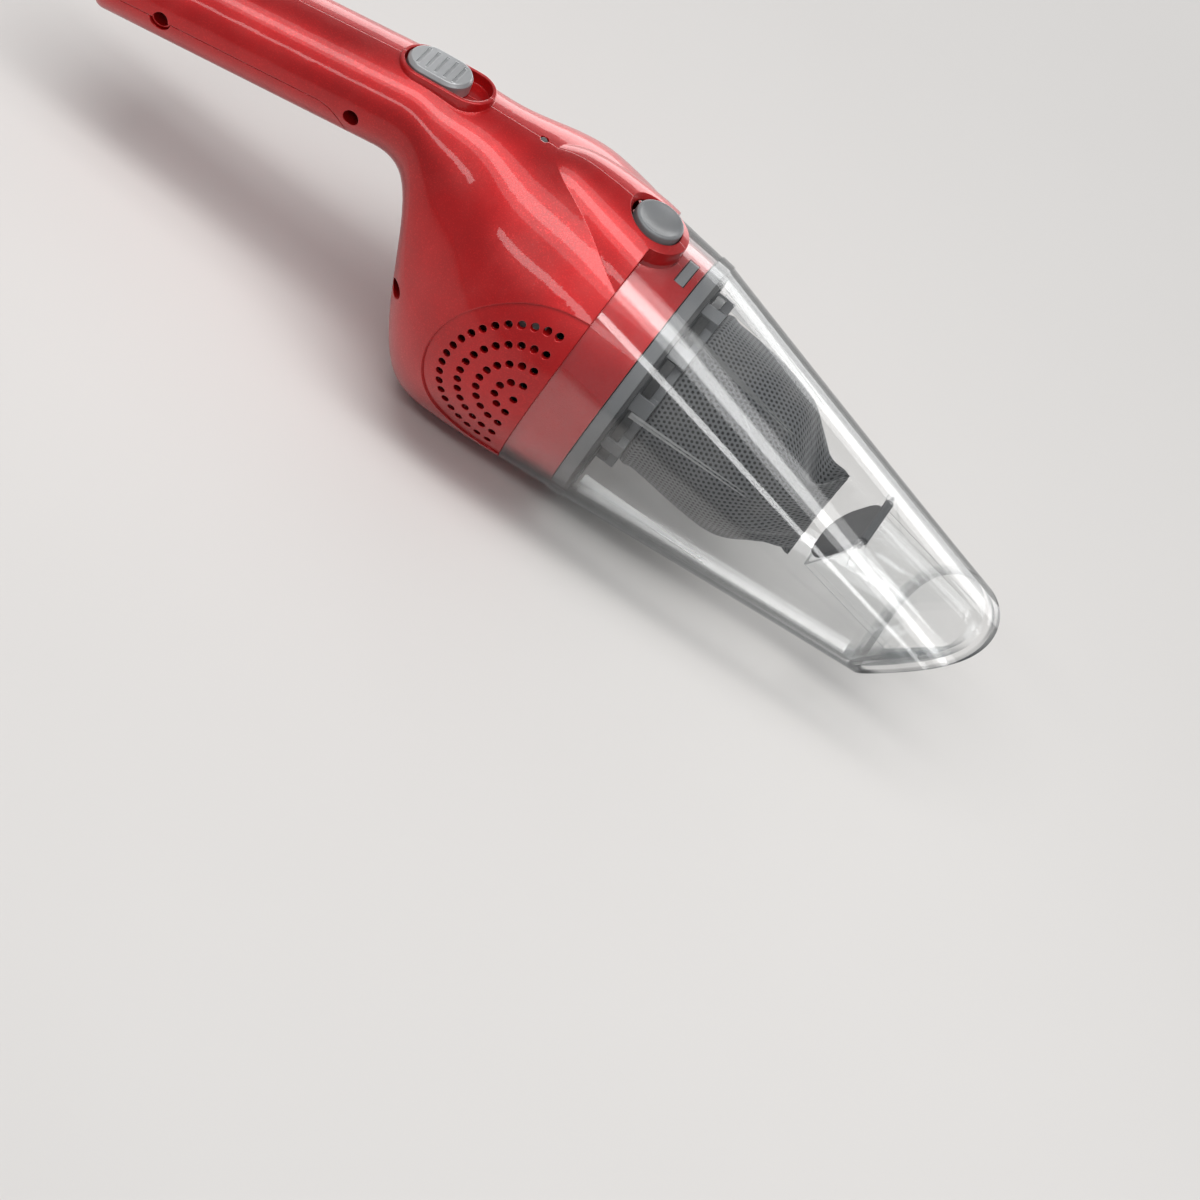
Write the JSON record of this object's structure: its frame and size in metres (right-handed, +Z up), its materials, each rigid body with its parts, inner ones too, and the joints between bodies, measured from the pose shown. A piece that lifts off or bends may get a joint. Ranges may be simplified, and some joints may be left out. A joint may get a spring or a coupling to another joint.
{
  "type": "handheld vacuum cleaner",
  "caption": "Cordless handheld vacuum with a glossy two-part body, slide switch, release button and a clear lift-off dust cup holding a cloth filter on a cage behind a flap inlet.",
  "frame": {"origin": "centre of the charging socket's mouth, on the rear face of the handle, on the body axis", "axes": "+X along the body to the nozzle, +Y to the left, +Z up; the flat under the belly faces -Z"},
  "size_m": [0.421, 0.1194, 0.1244],
  "materials": {
    "red_casing": "gloss",
    "screw_steel": "satin",
    "silver_plastic": "satin",
    "black_plastic": "satin",
    "board_green": "satin",
    "grey_plastic": "satin",
    "spring_steel": "polished",
    "light_lens": "gloss",
    "contact_metal": "polished",
    "cell_wrap": "satin",
    "can_steel": "satin",
    "magnet_ferrite": "matte",
    "seal_rubber": "matte",
    "white_plastic": "satin",
    "clear_plastic": "gloss",
    "flap_rubber": "matte",
    "flange_grey": "satin",
    "lock_dark": "satin",
    "cage_grey": "satin",
    "sock_mesh": "matte"
  },
  "bodies": {
    "housing": {"housing_left": "red_casing", "housing_right": "red_casing", "handle_cover": "red_casing", "housing_screws": "screw_steel", "switch_block": "black_plastic", "circuit_board": "board_green", "charge_light": "light_lens", "charge_socket": "black_plastic", "socket_pin": "contact_metal", "battery_cells": "cell_wrap", "battery_tabs": "contact_metal", "battery_tray": "black_plastic", "motor_plate": "black_plastic", "motor_can": "can_steel", "motor_magnets": "magnet_ferrite", "motor_end_cap": "black_plastic", "motor_terminals": "contact_metal", "motor_screws": "screw_steel", "motor_ring": "seal_rubber", "fan_cover": "black_plastic", "intake_grille": "black_plastic", "button_spring": "spring_steel"},
    "switch": {"switch_knob": "silver_plastic"},
    "button": {"release_button": "grey_plastic"},
    "rotor": {"motor_shaft": "spring_steel", "rotor_core": "can_steel", "impeller": "white_plastic"},
    "cup": {"dust_cup": "clear_plastic", "flap_pin": "spring_steel"},
    "flap": {"inlet_flap": "flap_rubber"},
    "filter": {"filter_frame": "flange_grey", "filter_seal": "seal_rubber", "filter_lock_ring": "lock_dark", "filter_cage": "cage_grey", "filter_sock": "sock_mesh"}
  },
  "joints": [
    {"name": "switch_slide", "type": "slide", "parent": "housing", "child": "switch", "axis": [0.9848, 0, 0.1736], "range_m": [0, 0.0075]},
    {"name": "button_press", "type": "slide", "parent": "housing", "child": "button", "axis": [0, 0, -1], "range_m": [0, 0.0025], "stiffness_N_per_m": 900, "springref_m": -0.002, "deforming": ["button_spring"]},
    {"name": "motor_spin", "type": "hinge", "parent": "housing", "child": "rotor", "pos_m": [0.228, 0, 0], "axis": [1, 0, 0], "continuous": true},
    {"name": "cup_removal", "type": "slide", "parent": "housing", "child": "cup", "axis": [1, 0, 0], "range_m": [0, 0.24]},
    {"name": "filter_removal", "type": "slide", "parent": "housing", "child": "filter", "axis": [1, 0, 0], "range_m": [0, 0.12]},
    {"name": "flap_swing", "type": "hinge", "parent": "cup", "child": "flap", "pos_m": [0.35831, 0, 0.01321], "axis": [0, 1, 0], "range_deg": [0, 12]}
  ],
  "couplings": [
    {"joint": "filter_removal", "follows": "cup_removal", "ratio": 0.5}
  ]
}
